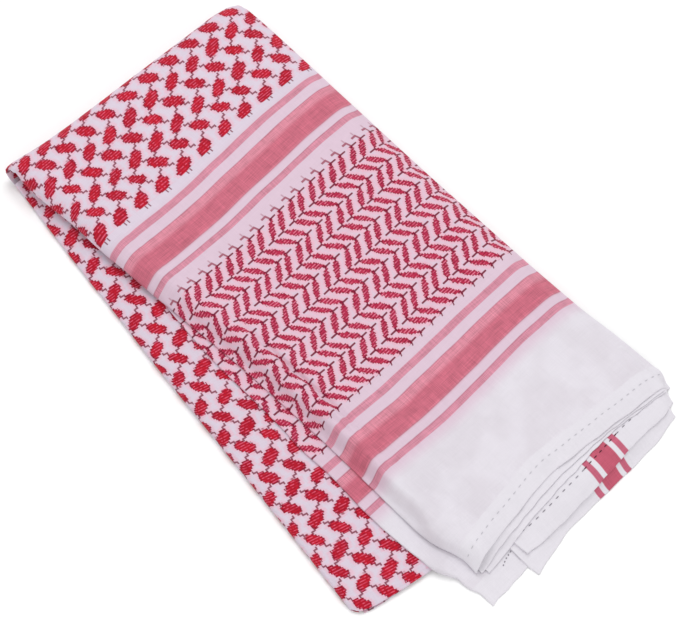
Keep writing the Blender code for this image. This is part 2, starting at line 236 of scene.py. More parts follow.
def make_cloth(name, grids, material, thickness=CLOTH):
    """One piece of cloth, from grids of points and of places in its weave, in millimetres."""
    mesh = bpy.data.meshes.new(name + "_sheet")
    verts, faces, places = [], [], []
    for points, along, across in grids:
        points[..., 2] = np.maximum(points[..., 2], thickness / 2)
        rows, columns = points.shape[:2]
        first = len(verts)
        verts += (points.reshape(-1, 3) * MM).tolist()
        places += np.stack([along, across], -1).reshape(-1, 2).tolist()
        for i in range(rows - 1):
            for j in range(columns - 1):
                a = first + i * columns + j
                faces.append((a, a + columns, a + columns + 1, a + 1))
    mesh.from_pydata(verts, [], faces)
    corners = np.zeros(len(mesh.loops), int)
    mesh.loops.foreach_get("vertex_index", corners)
    mesh.uv_layers.new(name="cloth").uv.foreach_set(
        "vector", np.array(places, np.float32)[corners].ravel())
    mesh.materials.append(material)
    piece = bpy.data.objects.new(name, mesh)
    bpy.context.scene.collection.objects.link(piece)
    wall = piece.modifiers.new("wall", "SOLIDIFY")
    wall.thickness = thickness * MM
    wall.offset = 0.0
    finished = bpy.data.meshes.new_from_object(
        piece.evaluated_get(bpy.context.evaluated_depsgraph_get()))
    piece.modifiers.clear()
    piece.data = finished
    finished.name = name
    finished.shade_smooth()
    finished.set_sharp_from_angle(angle=math.radians(60))
    bpy.data.meshes.remove(mesh)
    return piece


def keep(piece, node):
    """The piece rides on the cloth's one body and stands for its solid."""
    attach(piece, "root")
    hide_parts(node)


def srgb(red, green, blue):
    """A colour given as it looks on a screen, from 0 to 255."""
    return tuple(((c / 255 + 0.055) / 1.055) ** 2.4 for c in (red, green, blue)) + (1.0,)


def add_node(tree, kind, inputs=(), **settings):
    """A new node with its settings. Each input is a number, a colour, a socket or a strand."""
    node = tree.nodes.new(kind)
    for name, value in settings.items():
        setattr(node, name, value)
    for place, value in dict(inputs).items():
        socket = node.inputs[place]
        if isinstance(value, Strand):
            tree.links.new(value.socket, socket)
        elif isinstance(value, bpy.types.NodeSocket):
            tree.links.new(value, socket)
        else:
            socket.default_value = value
    return node


class Strand:
    """One number in a node tree. Sums of strands lay out the Math nodes."""

    def __init__(self, tree, socket):
        self.tree = tree
        self.socket = socket

    def math(self, operation, *others):
        node = add_node(self.tree, "ShaderNodeMath", enumerate((self, *others)),
                        operation=operation)
        return Strand(self.tree, node.outputs[0])

    def off_whole(self):
        """How far the number is from the nearest whole one, with its sign."""
        return self - self.whole()

    def fade(self, low, high):
        """0 at low to 1 at high, softly."""
        node = add_node(self.tree, "ShaderNodeMapRange",
                        {"Value": self, "From Min": low, "From Max": high},
                        interpolation_type="SMOOTHSTEP")
        return Strand(self.tree, node.outputs["Result"])

    def within(self, low, high, soft=0.12):
        """1 between two values and 0 outside, with soft edges."""
        return self.fade(low - soft, low + soft) * self.fade(high + soft, high - soft)


for sign, operation in (("__add__", "ADD"), ("__sub__", "SUBTRACT"), ("__mul__", "MULTIPLY"),
                        ("__truediv__", "DIVIDE"), ("__pow__", "POWER"),
                        ("__abs__", "ABSOLUTE"), ("whole", "ROUND"), ("floor", "FLOOR"),
                        ("least", "MINIMUM"), ("most", "MAXIMUM")):
    setattr(Strand, sign, lambda self, *others, operation=operation: self.math(operation, *others))


def place_at(tree, x, y, z=0.0):
    """A vector from three strands or numbers."""
    return add_node(tree, "ShaderNodeCombineXYZ", enumerate((x, y, z))).outputs[0]


def chance(tree, x, y, z=0.0):
    """A random number from 0 to 1 that belongs to a place counted in whole steps."""
    return Strand(tree, add_node(tree, "ShaderNodeTexWhiteNoise",
                                 {"Vector": place_at(tree, x, y, z)},
                                 noise_dimensions="3D").outputs["Value"])


def cloud(tree, x, y, z=0.0, detail=2.0):
    """Soft noise from 0 to 1."""
    return Strand(tree, add_node(tree, "ShaderNodeTexNoise", {
        "Scale": 1.0, "Detail": detail, "Vector": place_at(tree, x, y, z)}).outputs["Fac"])


def tint(tree, share, first, second):
    """Mixes two colours by a share."""
    return add_node(tree, "ShaderNodeMix", {0: share, 6: first, 7: second},
                    data_type="RGBA").outputs[2]


def start_group(name, inputs, outputs):
    """A shader node group that takes and gives numbers. Returns its tree and its inputs."""
    tree = bpy.data.node_groups.new(name, "ShaderNodeTree")
    for label, value in inputs:
        socket = tree.interface.new_socket(label, in_out="INPUT", socket_type="NodeSocketFloat")
        socket.default_value = value
    for label in outputs:
        tree.interface.new_socket(label, in_out="OUTPUT", socket_type="NodeSocketFloat")
    entry = tree.nodes.new("NodeGroupInput")
    return tree, [Strand(tree, entry.outputs[label]) for label, _ in inputs]


def use_group(tree, group, **values):
    """Places a group in a tree and returns its outputs by name."""
    node = add_node(tree, "ShaderNodeGroup", values, node_tree=group)
    return {socket.name: Strand(tree, socket) for socket in node.outputs}


def box(x, y, left, right, low, high, soft=0.14):
    """1 inside a rectangle and 0 outside it, with soft edges."""
    return x.within(left, right, soft) * y.within(low, high, soft)


def any_of(masks):
    """The union of several masks."""
    masks = list(masks)
    union = masks[0]
    for mask in masks[1:]:
        union = union.most(mask)
    return union


NET_PERIOD = 19.4             # the net repeats so far along the cloth
NET_RISE = 14.65              # and so far across it


def net_group():
    """The red net: fat lozenges of floats, turned alternately, joined by small dark steps."""
    tree, (along, across, period, rise, pitch) = start_group(
        "red_net", [("Along", 0.0), ("Across", 0.0), ("Period", NET_PERIOD), ("Rise", NET_RISE),
                    ("Float", 1.1)], ["Blob", "Core", "Line", "Halo", "Height", "Tone"])
    column = (along / pitch).floor()
    middle = (column + 0.5) * pitch
    ragged = across + (chance(tree, column, (across / 7.3).whole(), 1.0) - 0.5) * 1.3
    a, b = middle / period, ragged / rise
    blobs, tones = [], []
    for shift, lean, half_length, half_width, aside in ((0.0, 49.0, 5.3, 2.95, 0.35),
                                                        (0.5, -58.0, 5.5, 3.0, 0.3)):
        c, s = math.cos(math.radians(lean)), math.sin(math.radians(lean))
        cell_a, cell_b = (a - shift).whole(), (b - shift).whole()
        x = (a - shift - cell_a) * period
        y = (b - shift - cell_b) * rise
        size = chance(tree, cell_a, cell_b, shift + 3.0) * 0.14 + 0.93
        length = abs(x * c + y * s) / (size * half_length)
        width = abs(y * c - x * s - aside) / (size * half_width)
        blobs.append(length ** 2.6 + width ** 2.6)
        tones.append(chance(tree, cell_a, cell_b, shift + 5.0))
    nearest = blobs[0].least(blobs[1])
    blob, core = nearest.fade(1.15, 0.9), nearest.fade(0.8, 0.45)
    first = blobs[0].math("LESS_THAN", blobs[1])
    tone = tones[0] * first + tones[1] * (first * -1.0 + 1.0)
    x = (along / period).off_whole() * period
    y = (across / rise).off_whole() * rise
    side = x.math("SIGN")
    x, y = x * side, y * side
    line = any_of(box(x, y, *place) for place in (
        (3.8, 5.8, 2.7, 3.6), (4.9, 5.8, 3.0, 5.5), (4.9, 6.6, 4.8, 5.7),
        (3.0, 4.8, -1.95, -1.05), (4.0, 4.9, -3.0, -1.4), (4.2, 6.2, -3.8, -2.9)))
    halo = nearest.fade(3.2, 1.2).most(any_of(box(x, y, *place, 0.7) for place in (
        (3.6, 6.8, 2.5, 5.8), (3.0, 6.2, -3.9, -1.0))) * 0.7)
    round_float = (along / pitch - column - 0.5) * 2.0
    height = blob * ((round_float * round_float) * -0.5 + 1.0)
    add_node(tree, "NodeGroupOutput", {"Blob": blob, "Core": core, "Line": line, "Halo": halo,
                                       "Height": height, "Tone": tone})
    return tree


CHEVRON_RISE = 14.75          # two rows of chevrons repeat so far across the cloth
SECOND_ROW = 8.0              # from one of them to the other


def chevron_group():
    """The chevron band: slim leaves of floats in zigzag rows, with dark ticks where they meet."""
    tree, (along, across, period, rise, pitch) = start_group(
        "chevrons", [("Along", 0.0), ("Across", 0.0), ("Period", 19.05),
                     ("Rise", CHEVRON_RISE), ("Float", 1.0)],
        ["Leaf", "Core", "Edge", "Tick", "Height", "Side"])
    depth = 7.3
    slope = depth / 9.0
    lengthened = math.hypot(1.0, slope)
    column = (along / pitch).floor()
    middle = (column + 0.5) * pitch
    ragged = across + (chance(tree, column, (across / 3.7).whole(), 2.0) - 0.5) * 0.9

    def rows_at(x, y):
        share = (x / period).math("FLOORED_MODULO", 1.0)
        from_peak = (abs(share * 2.0 - 1.0) * -1.0 + 1.0) * (period * 0.5)
        fall = ((from_peak - 0.2) * slope).most(0.0).least(depth)
        r = y + fall
        return share, from_peak, [(r / rise).off_whole() * rise,
                                  ((r - SECOND_ROW) / rise).off_whole() * rise]

    share, from_peak, rows = rows_at(middle, ragged)
    insides = []
    for row in rows:
        out = ((from_peak - period * 0.25) * lengthened - row * (slope / lengthened)) / 6.1
        thick = ((out * out) * -1.0 + 1.0).most(0.0) ** 0.6 * 2.15
        insides.append(thick - abs(row))
    inside = any_of(insides)
    leaf, core = inside.fade(-0.1, 0.25), inside.fade(0.3, 0.75)
    edge = inside.fade(-2.8, -0.2)
    side = share.math("LESS_THAN", 0.5)
    share, from_peak, rows = rows_at(along, across)
    at_valley = abs((share - 0.5) * period)
    at_peak = abs(share.off_whole() * period)
    tick = any_of(mark for row in rows for mark in (
        at_valley.fade(0.62, 0.36) * row.within(-3.7, 0.4),
        at_peak.fade(0.6, 0.34) * row.within(-0.4, 3.4),
        at_valley.least(at_peak).fade(1.5, 1.1) * abs(row).fade(0.55, 0.25)))
    round_float = (along / pitch - column - 0.5) * 2.0
    height = leaf * ((round_float * round_float) * -0.5 + 1.0)
    add_node(tree, "NodeGroupOutput", {"Leaf": leaf, "Core": core, "Edge": edge, "Tick": tick,
                                       "Height": height, "Side": side})
    return tree


def barb_group():
    """The barbs that end the rows of a band: threads that are carried a little past it."""
    tree, (out, up, rise) = start_group(
        "barbs", [("Out", 0.0), ("Up", 0.0), ("Rise", CHEVRON_RISE)], ["Left", "Right"])
    left, right = [], []
    for row_start in (0.0, SECOND_ROW):
        row = ((up - row_start) / rise).off_whole() * rise
        left.append(abs(row - out * 0.3).fade(0.75, 0.35) * out.within(-3.4, 0.4))
        left.append(abs(out + 2.8).fade(0.75, 0.4) * row.within(-3.6, -0.4))
        left.append(abs(row + 1.0 - out * 0.05).fade(0.6, 0.2) * out.within(-5.6, -3.0, 0.5)
                    * 0.5)
        right.append(abs(row + out * 0.45).fade(0.5, 0.2) * out.within(-0.2, 2.2))
    add_node(tree, "NodeGroupOutput", {"Left": any_of(left), "Right": any_of(right)})
    return tree


def threads_group():
    """Plain weave: threads over and under each other, each a little lighter or darker."""
    tree, (along, across, pitch) = start_group(
        "threads", [("Along", 0.0), ("Across", 0.0), ("Pitch", 0.42)], ["Height", "Tone"])
    x, y = along / pitch, across / pitch
    weave = abs((x * math.pi).math("SINE") * (y * math.pi).math("SINE"))
    over = abs(((x.floor() + y.floor()) * 0.5).off_whole()) * 2.0
    height = weave * (over * 0.5 + 0.5)
    lengths = cloud(tree, along * 2.4, across * 0.08, 3.0) + cloud(
        tree, along * 0.08, across * 2.4, 7.0)
    blotches = cloud(tree, along * 0.2, across * 0.2, 11.0, 4.0)
    add_node(tree, "NodeGroupOutput", {
        "Height": height, "Tone": (lengths - 1.0) * 0.6 + (blotches - 0.5) * 0.35})
    return tree


NET, CHEVRONS, BARBS, THREADS = net_group(), chevron_group(), barb_group(), threads_group()


def new_material(name, roughness):
    """A material with its node tree and its shader."""
    material = bpy.data.materials.new(name)
    material.use_nodes = True
    shader = material.node_tree.nodes["Principled BSDF"]
    shader.inputs["Roughness"].default_value = roughness
    return material, material.node_tree, shader


def start_cotton(name):
    """A material with the places of its weave, in millimetres along and across the cloth."""
    material, tree, _ = new_material(name, 0.88)
    place = add_node(tree, "ShaderNodeUVMap", uv_map="cloth")
    split = add_node(tree, "ShaderNodeSeparateXYZ", {0: place.outputs["UV"]})
    return material, tree, Strand(tree, split.outputs[0]), Strand(tree, split.outputs[1])


def finish_cotton(tree, colour, tone, height, strength=0.6):
    """Matt cotton of one colour, varied from thread to thread, with the height of its threads."""
    thread = add_node(tree, "ShaderNodeHueSaturation", {"Color": colour, "Value": tone + 0.88})
    shader = tree.nodes["Principled BSDF"]
    shader.inputs["Specular IOR Level"].default_value = 0.2
    shader.inputs["Sheen Weight"].default_value = 0.08
    shader.inputs["Sheen Roughness"].default_value = 0.5
    tree.links.new(thread.outputs["Color"], shader.inputs["Base Color"])
    bump = add_node(tree, "ShaderNodeBump",
                    {"Strength": strength, "Distance": 0.2 * MM, "Height": height})
    tree.links.new(bump.outputs["Normal"], shader.inputs["Normal"])


NET_ACROSS = 36.3             # a middle of the net's repeat, across the cloth
RIDGE = 1.4                   # pitch of the raised floats' ridges
STRIPES = ((-101.0, -97.0, False), (-91.5, -76.0, True), (-71.5, -68.0, False),
           (44.5, 48.5, False), (54.0, 69.0, True), (74.0, 77.6, False))


def patterned_cotton(name, fade=0.0):
    """The scarf's own weave, from the net past two groups of stripes and the chevrons."""
    material, tree, along, across = start_cotton(name)
    p = along + (cloud(tree, along * 0.03, across * 0.03, 0.0, 1.0) - 0.5) * 1.6
    q = across + (cloud(tree, along * 0.03, across * 0.03, 40.0, 1.0) - 0.5) * 1.4

    ground, check_ground = srgb(227, 202, 218), srgb(225, 211, 226)
    rose, deep, narrow = srgb(222, 142, 160), srgb(206, 110, 130), srgb(216, 144, 164)
    red, dark_red, rim = srgb(204, 16, 44), srgb(186, 10, 40), srgb(150, 18, 50)
    leaf_red, pale_red, maroon = srgb(184, 42, 78), srgb(192, 42, 78), srgb(120, 6, 48)
    blush = srgb(240, 186, 204)

    net = use_group(tree, NET, Along=p + 138.6, Across=q - NET_ACROSS)
    from_first, up = p + 57.2, q - 29.25
    chevrons = use_group(tree, CHEVRONS, Along=from_first, Across=up)
    left_barbs = use_group(tree, BARBS, Out=from_first, Up=up)
    right_barbs = use_group(tree, BARBS, Out=p - 38.05, Up=up)
    threads = use_group(tree, THREADS, Along=along, Across=across)
    in_net = p.fade(-106.2, -106.6)
    in_chevrons = p.within(-57.6, 38.9, 0.05)

    colour = tint(tree, p.fade(-104.0, -99.0), check_ground, ground)
    white = tint(tree, cloud(tree, along * 0.05, across * 0.05, 60.0).fade(0.35, 0.65),
                 srgb(228, 222, 230), srgb(234, 229, 237))
    colour = tint(tree, p.fade(77.0, 86.0), colour, white)
    for low, high, wide in STRIPES:
        colour = tint(tree, p.within(low, high, 0.25), colour, rose if wide else narrow)
        if wide:
            colour = tint(tree, p.within(low + 4.8, high - 0.2, 1.6), colour, deep)
    for at in (-91.4, -76.1, -71.4, 54.1, 68.9, 74.1):
        colour = tint(tree, abs(p - at).fade(0.5, 0.15) * 0.4, colour, srgb(176, 96, 120))
    # Painted highlight and painted shade on the raised floats: a lighter tint along the crest of
    # each ridge and a darker one in the trough beside it, stronger or weaker from thread to
    # thread.
    ridges = (p * (math.tau / RIDGE)).math("COSINE")
    uneven = [chance(tree, (p / RIDGE).whole(), (q / 1.1 + shift).floor(), 9.0).fade(0.1, 0.9)
              for shift in (0.0, 30.5)]
    light, dark = ridges.most(0.0) * uneven[0], (ridges * -1.0).most(0.0) * uneven[1]
    blob = net["Blob"] * in_net
    net_barb = p.within(-106.5, -104.7) * any_of(
        abs(((q - 28.97 - at) / NET_RISE).off_whole() * NET_RISE).fade(0.5, 0.2)
        for at in (1.2, -1.0))
    colour = tint(tree, net["Halo"] * in_net * 0.7, colour, blush)
    colour = tint(tree, (net["Line"] * in_net).most(net_barb) * (0.85 - fade), colour, maroon)
    floats = tint(tree, net["Core"], rim, tint(tree, net["Tone"], red, dark_red))
    # Painted highlight on the crests of the net's floats, then painted shade in their troughs.
    floats = tint(tree, light * 0.75, floats, srgb(236, 108, 140))
    floats = tint(tree, dark * 0.7, floats, srgb(124, 2, 32))
    colour = tint(tree, blob * (1.0 - fade), colour, floats)
    leaf = chevrons["Leaf"] * in_chevrons
    colour = tint(tree, chevrons["Edge"] * in_chevrons * 0.9, colour, blush)
    floats = tint(tree, chevrons["Core"], rim, tint(tree, chevrons["Side"], pale_red, leaf_red))
    # Painted highlight on the crests of the leaves' floats, a little weaker on one side of each
    # chevron, then painted shade in their troughs.
    floats = tint(tree, light * (chevrons["Side"] * -0.15 + 0.95), floats, srgb(238, 134, 162))
    floats = tint(tree, dark * 0.85, floats, srgb(112, 4, 34))
    colour = tint(tree, leaf * (1.0 - fade), colour, floats)
    colour = tint(tree, left_barbs["Left"] * (0.8 - fade), colour, srgb(150, 26, 62))
    marks = (chevrons["Tick"] * in_chevrons).most(right_barbs["Right"])
    colour = tint(tree, marks * (0.95 - fade), colour, maroon)
    raised = net["Height"] * in_net + chevrons["Height"] * in_chevrons
    dyed = any_of(p.within(low, high, 0.3) for low, high, _ in STRIPES)
    finish_cotton(tree, colour, threads["Tone"] * (dyed * 0.85 + 0.15),
                  threads["Height"] + raised * 1.3)
    return material


UNDERSIDE_HEIGHT = 0.5
UNDERSIDE_NET = 500.0         # so far back along the weave, there is only the net

net_cotton = patterned_cotton("net_cotton")
along, across, x, y = plan(
    lower_start, lambda c: curve(LOWER_END, c) + 1.2 - 2.2 * np.clip(c / 40, 0, 1),
    edge(LOWER_NEAR, 4.4), edge(STRIP_WIDTH, -1.0), steps(290, 3.0), steps(144, 3.0), turned)
points = np.stack([x, y, 0 * x + UNDERSIDE_HEIGHT], -1)
underside_ply = make_cloth(
    "underside_cloth", [(points, along - UNDERSIDE_NET, across)], net_cotton)
keep(underside_ply, "underside_ply")

# Lower inner plies. The folded layers inside the lower half: the same thin cotton, turned back
# on itself from side to side, so the long sides show one soft folded edge above another.
LOWER_PLIES = 4
INNER_NET = 300.0             # these plies show only the net, too
INNER_CLOTH = 0.3
SIDE_REACH = 12.0             # over which a fold that stands out further draws its ply along


def side_way(x, y, edge, inner):
    """The level direction straight out of one long side of a grid."""
    out = np.stack([x[:, edge] - x[:, inner], y[:, edge] - y[:, inner]], -1)
    return out / np.linalg.norm(out, axis=-1, keepdims=True)


def folded_plies(form, x, y, plies, near_shifts, far_shifts, bulge, seed):
    """One cloth turned to and fro between its two long sides, filling the height of a solid."""
    top, bottom = relax(form.heights(x, y), 3), relax(form.heights(x, y, below=True), 3)
    ways = side_way(x, y, 0, 1), side_way(x, y, -1, -2)
    rng = np.random.default_rng(seed)
    strips = []
    for ply in range(plies):
        level = bottom + (top - bottom) * (ply + 0.5) / plies
        place = np.stack([x, y, level], -1)
        for side, shifts in ((0, near_shifts), (-1, far_shifts)):
            pick = (ply + (side == 0)) // 2
            away = np.hypot(x - x[:, [side]], y - y[:, [side]])
            draw = np.clip(1 - away / SIDE_REACH, 0, 1) ** 2 * shifts[pick % len(shifts)]
            place[..., :2] += draw[..., None] * ways[side][:, None]
        strips.append(place[:, ::-1] if ply % 2 else place)
    path = [strips[0]]
    for ply in range(1, plies):
        here, after = strips[ply - 1][:, -1], strips[ply][:, 0]
        way = np.pad(ways[-1 if ply % 2 else 0], ((0, 0), (0, 1)))
        wave = 1 + 0.35 * np.sin(np.arange(len(x)) * rng.uniform(0.08, 0.2) + rng.uniform(0, 6))
        turn = [(here + after) / 2 + (after - here) / 2 * math.sin(a)
                + way * (bulge * math.cos(a) * wave)[:, None]
                for a in np.radians([-60, -30, 0, 30, 60])]
        path += [np.stack(turn, 1), strips[ply]]
    return np.concatenate(path, 1)


inner_cotton = patterned_cotton("inner_cotton", fade=0.2)
along, across, x, y = plan(
    lower_start, edge(LOWER_END, -4.0), edge(LOWER_NEAR, 5.0), edge(STRIP_WIDTH, -3.0),
    steps(285, 3.0), edged_steps(140, 8, 14, 1.6), turned)
points = folded_plies(Form("lower_inner_plies"), x, y, LOWER_PLIES, (0.4, -0.5, 0.6),
                      (0.8, -0.9), 0.5, 11)
lower_inner_plies = make_cloth(
    "lower_inner_cloth", [(points, along[:, :1] - INNER_NET + 0 * points[..., 0],
                           run(points, 1, 0))], inner_cotton, INNER_CLOTH)
keep(lower_inner_plies, "lower_inner_plies")

# Lower flap. The top ply of the lower half, fanned out past the upper one, so that a wedge of
# the red net shows: cotton with raised red threads, folded under along its near edge.
LOWER_LENGTH = 286.0
FINE_WIDTH = 80.0             # what may show of the flap, and the rest of its width
HIDDEN_WIDTH = STRIP_WIDTH - FINE_WIDTH
FLAP_NET = (172.5, 23.0)      # a middle of the net's repeat, along and across the flap
FLAP_PERIOD = 19.1            # the net's repeat as it lies here, along and across
FLAP_RISE = 13.3
PERIODS_BACK = 293.8          # from there to the border's stripes, along the weave

columns = np.concatenate([
    steps(FINE_WIDTH, 1.25) * FINE_WIDTH / STRIP_WIDTH,
    FINE_WIDTH / STRIP_WIDTH + steps(HIDDEN_WIDTH, 4.0)[1:] * HIDDEN_WIDTH / STRIP_WIDTH])
rows = steps(LOWER_LENGTH, 1.5)
along, across, x, y = plan(lower_start, edge(LOWER_END), edge(LOWER_NEAR, 0.6),
                           edge(STRIP_WIDTH), rows, columns, turned)
z = relax(Form("lower_flap").heights(x, y), 8) - CLOTH / 2
z = settle(z, 0 * z, (1 - rows[:, None]) * LOWER_LENGTH + 0 * z, 4.0, 1.6)
along, across = weave_places(np.stack([along, across, z], -1), 100, 40)
along, across = along - FLAP_NET[0], across - FLAP_NET[1]
grid = (np.stack([x, y, z], -1),
        (along - 0.1 * across) * NET_PERIOD / FLAP_PERIOD - PERIODS_BACK,
        across * NET_RISE / FLAP_RISE + 0.014 * along + NET_ACROSS + 0.007)
grid = fold_side(*grid, True, 0.5, 4.0)
lower_flap = make_cloth("lower_flap_cloth", [fold_side(*grid, False, z[:, -1] - 1.2, 3.0)],
                        net_cotton)
keep(lower_flap, "lower_flap")

# Second panel. The ply next under the top one, a little out of line with it: its near edge and
# its hem show. The hem is turned under and hemstitched.
HEM_DEPTH = 11.5              # turned hem, from its stitch line to its edge
HEM_PITCH = 1.3               # of the grid's rows along it
HEM_REACH = 8.0               # over which it lies down on the cloth below
HEM_ROUND = 0.2               # radius of its turned edge
HEM_SUNK = 0.1                # how far its edge presses into the cloth below
NO_BANDS = 300.0              # so far across the border, there are no rose bands
HEM_SURFACES = {}             # each hemmed piece's top ply, for its stitches
SECOND_LEFT = ((-166, -46.0), (-110, -45.5), (-62, -48.6), (-32, -52.6), (-10, -54.6),
               (12, -55.2), (34, -56.4), (47, -57.6), (67, -57.5), (87, -59.1), (102, -59.5),
               (120, -58.8), (130, -57.2), (136, -54.6), (142, -51.6), (147, -51.9), (151, -51.3),
               (154, -50.1), (162, -50.4))
SECOND_RIGHT = ((-166, 92.0), (-100, 91.0), (0, 86.0), (100, 83.0), (162, 78.0))
SECOND_HEM = ((-52, 162.2), (-38, 161.2), (-25, 160.2), (0, 157.5), (40, 156.5), (80, 153.0))


def white_cotton_cloth():
    """The plain white cotton of the border, crossed near one side by three rose bands."""
    material, tree, along, across = start_cotton("white_cotton")
    threads = use_group(tree, THREADS, Along=along, Across=across)
    colour = tint(tree, cloud(tree, along * 0.05, across * 0.05), srgb(227, 223, 230),
                  srgb(233, 229, 236))
    bands = ((0.0, 3.2, srgb(198, 100, 124)), (5.9, 15.9, srgb(197, 92, 114)),
             (18.6, 21.8, srgb(198, 100, 124)))
    for low, high, tone in bands:
        colour = tint(tree, across.within(low, high, 0.3), colour, tone)
    dyed = any_of(across.within(low, high, 0.3) for low, high, _ in bands)
    finish_cotton(tree, colour, threads["Tone"] * (dyed * 0.5 + 0.12), threads["Height"], 0.35)
    return material


def swells(x, y, marks):
    """Soft ridges and troughs, listed: place, half length, half width, turn, rise."""
    total = np.zeros_like(x)
    for along, across, half_length, half_width, turn, rise in marks:
        c, s = math.cos(math.radians(turn)), math.sin(math.radians(turn))
        u = (x - along) * c + (y - across) * s
        v = (y - across) * c - (x - along) * s
        total += rise * np.exp(-(u / half_length) ** 2 - (v / half_width) ** 2)
    return total


def puckers(y, to_edge, seed):
    """Small ripples that its stitches draw into a hem."""
    rng = np.random.default_rng(seed)
    total = 0.0
    for length in (4.6, 7.3, 12.5):
        lean, phase = rng.uniform(-0.35, 0.35), rng.uniform(0, math.tau)
        total = total + np.sin(y * math.tau / length + to_edge * lean + phase)
    return total * 0.075 * np.exp(-((to_edge - 8.0) / 8.0) ** 2)


def uneven_edge(table, seed):
    """The edge of a hem: a table's curve with the small waves of soft cloth."""
    rng = np.random.default_rng(seed)
    waves = rng.uniform((7.0, 0.0), (24.0, math.tau), (4, 2))
    return lambda c: curve(table, c) + 0.09 * sum(
        np.sin(c * math.tau / length + phase) for length, phase in waves)


def cloth_below(below, x, y):
    """Heights of the finished cloth that lies below, and of the floor past it."""
    return Form(*below).heights(x, y, level=0.0)


def hemmed_grid(names, below, start, hem_edge, left, right, length, pitch, columns, seed,
                passes=8):
    """A stretch of cloth down to the edge of its hem, and the row where the hem is stitched.
    The hem lies down on the finished cloth below it."""
    end = uneven_edge(hem_edge, seed)
    stitched = edge(hem_edge, -HEM_DEPTH)
    body = plan(start, stitched, left, right, steps(length - HEM_DEPTH, pitch), columns)
    hem = plan(stitched, end, left, right, steps(HEM_DEPTH, HEM_PITCH), columns)
    x, y = (np.concatenate([body[k], hem[k][1:]]) for k in (2, 3))
    z = relax(Form(*names).heights(x, y), passes) - CLOTH / 2
    split = len(body[0]) - 1
    to_edge = (len(x) - 1 - np.arange(len(x)))[:, None] * HEM_PITCH + 0 * z
    z = settle(z, cloth_below(below, x, y), to_edge, HEM_REACH,
               CLOTH / 2 + 2 * HEM_ROUND + CLOTH / 2 - HEM_SUNK)
    z += puckers(y, to_edge, seed)
    return x, y, z, split


def make_hemmed(name, points, split, places, material, near_low, far_low, aside=0.0):
    """The cloth up to the stitch line, and its hem turned under past it, as two pieces. Both
    have folded long sides, that come down to the heights given."""
    HEM_SURFACES[name] = points
    full = turn_under(points, HEM_DEPTH - 0.6, HEM_ROUND)
    extra = len(full) - len(points)
    along, across = places
    last = along[-1:] + np.arange(1, extra + 1)[:, None] * HEM_PITCH
    along = np.concatenate([along, last])
    across = np.concatenate([across, np.repeat(across[-1:], extra, 0)])
    rows = np.minimum(np.arange(len(full)), len(points) - 1)
    grid = fold_side(full, along, across, True, near_low[rows], 3.0)
    full, along, across = fold_side(*grid, False, far_low[rows], 3.0)
    hem = slice(split, None)
    body = slice(0, split + 1)
    return (make_cloth(name + "_cloth", [(full[body], along[body], across[body])], material),
            make_cloth(name + "_hem_cloth", [(full[hem], along[hem], across[hem] + aside)],
                       white_cotton))


def under_side(below, points, column, out):
    """Heights for the under ply of a folded side, that lies on the finished cloth below."""
    x, y = points[:, column, 0][None, :], points[:, column, 1][None, :] + out
    return relax(cloth_below(below, x, y), 4)[0] + CLOTH / 2 + 0.04


def keep_hemmed(pieces, node, slots):
    """The hem is part of its sheet, and rides with it on the one body."""
    for piece, part, slot in zip(pieces, ("", "_hem"), slots):
        keep(piece, node + part)


white_cotton = white_cotton_cloth()
columns = np.concatenate([np.linspace(0, 0.16, 20), np.linspace(0.16, 1, 42)[1:]])
x, y, z, split = hemmed_grid(
    ("second_panel", "second_panel_hem"), (lower_flap,),
    edge(FOLD_TIP, FOLD_REACH + FOLD_CLEAR), SECOND_HEM, edge(SECOND_LEFT, 0.4),
    edge(SECOND_RIGHT, -0.5), 310, 1.8, columns, seed=12)
points = np.stack([x, y, z], -1)
along, across = weave_places(points, 100, 30)
second_panel, second_panel_hem = make_hemmed(
    "second_panel", points, split, (along - 16.0, across - 7.5), net_cotton,
    under_side((lower_flap,), points, 0, 0.6), z[:, -1] - 1.2, NO_BANDS)
keep_hemmed((second_panel, second_panel_hem), "second_panel", ("net_cotton", "white_cotton"))

# Lowest and third stretches. Two short lengths of the white border, fanned out one over the
# other, with the rose bands of the cloth's side border along them, just out of line. Each is
# folded along its near side, and its hem is turned and stitched.
STRETCH_WIDTH = 108.0
LOWEST_LEFT = ((60, -26.0), (161, -25.0), (167, -24.2))
LOWEST_RIGHT = ((60, 86.0), (130, 84.0), (157, 80.2))
LOWEST_HEM = ((-24, 166.2), (-12.5, 163.7), (-1, 161.3), (7, 160.7), (26, 160.5), (46, 160.3),
              (64, 159.4), (80, 156.6))
THIRD_LEFT = ((60, -24.0), (150, -22.2), (158, -21.5))
THIRD_RIGHT = ((60, 88.0), (130, 87.5), (152, 85.0))
THIRD_HEM = ((-22, 156.6), (-10, 157.6), (6, 157.2), (25, 156.4), (45, 154.9), (56, 153.9),
             (76, 153.2), (85, 151.0))
columns = steps(STRETCH_WIDTH, 1.5)
below = (second_panel, second_panel_hem, lower_flap)
for name, start, left, right, hem, length, bands_at, seed, flat, lies_on in (
        ("lowest_stretch", 104.0, LOWEST_LEFT, LOWEST_RIGHT, LOWEST_HEM, 57, 23.5, 14,
         (0.108, 0.057), "second_panel_cloth"),
        ("third_stretch", 108.0, THIRD_LEFT, THIRD_RIGHT, THIRD_HEM, 47, 27.3, 13,
         (0.109, 0.049), "lowest_stretch_cloth")):
    x, y, z, split = hemmed_grid(
        (name, name + "_hem"), below, edge(start), hem, edge(left, 0.3), edge(right, -0.3),
        length, 1.5, columns, seed)
    z = settle(z, cloth_below(below, x, y), columns[None, :] * STRETCH_WIDTH + 0 * z, 6.0, 1.0)
    points = np.stack([x, y, z], -1)
    pieces = make_hemmed(name, points, split, (x, y - bands_at), white_cotton,
                         under_side(below, points, 0, 0.5), z[:, -1] - 1.0)
    keep_hemmed(pieces, name, ("white_cotton", "white_cotton"))
    below += pieces

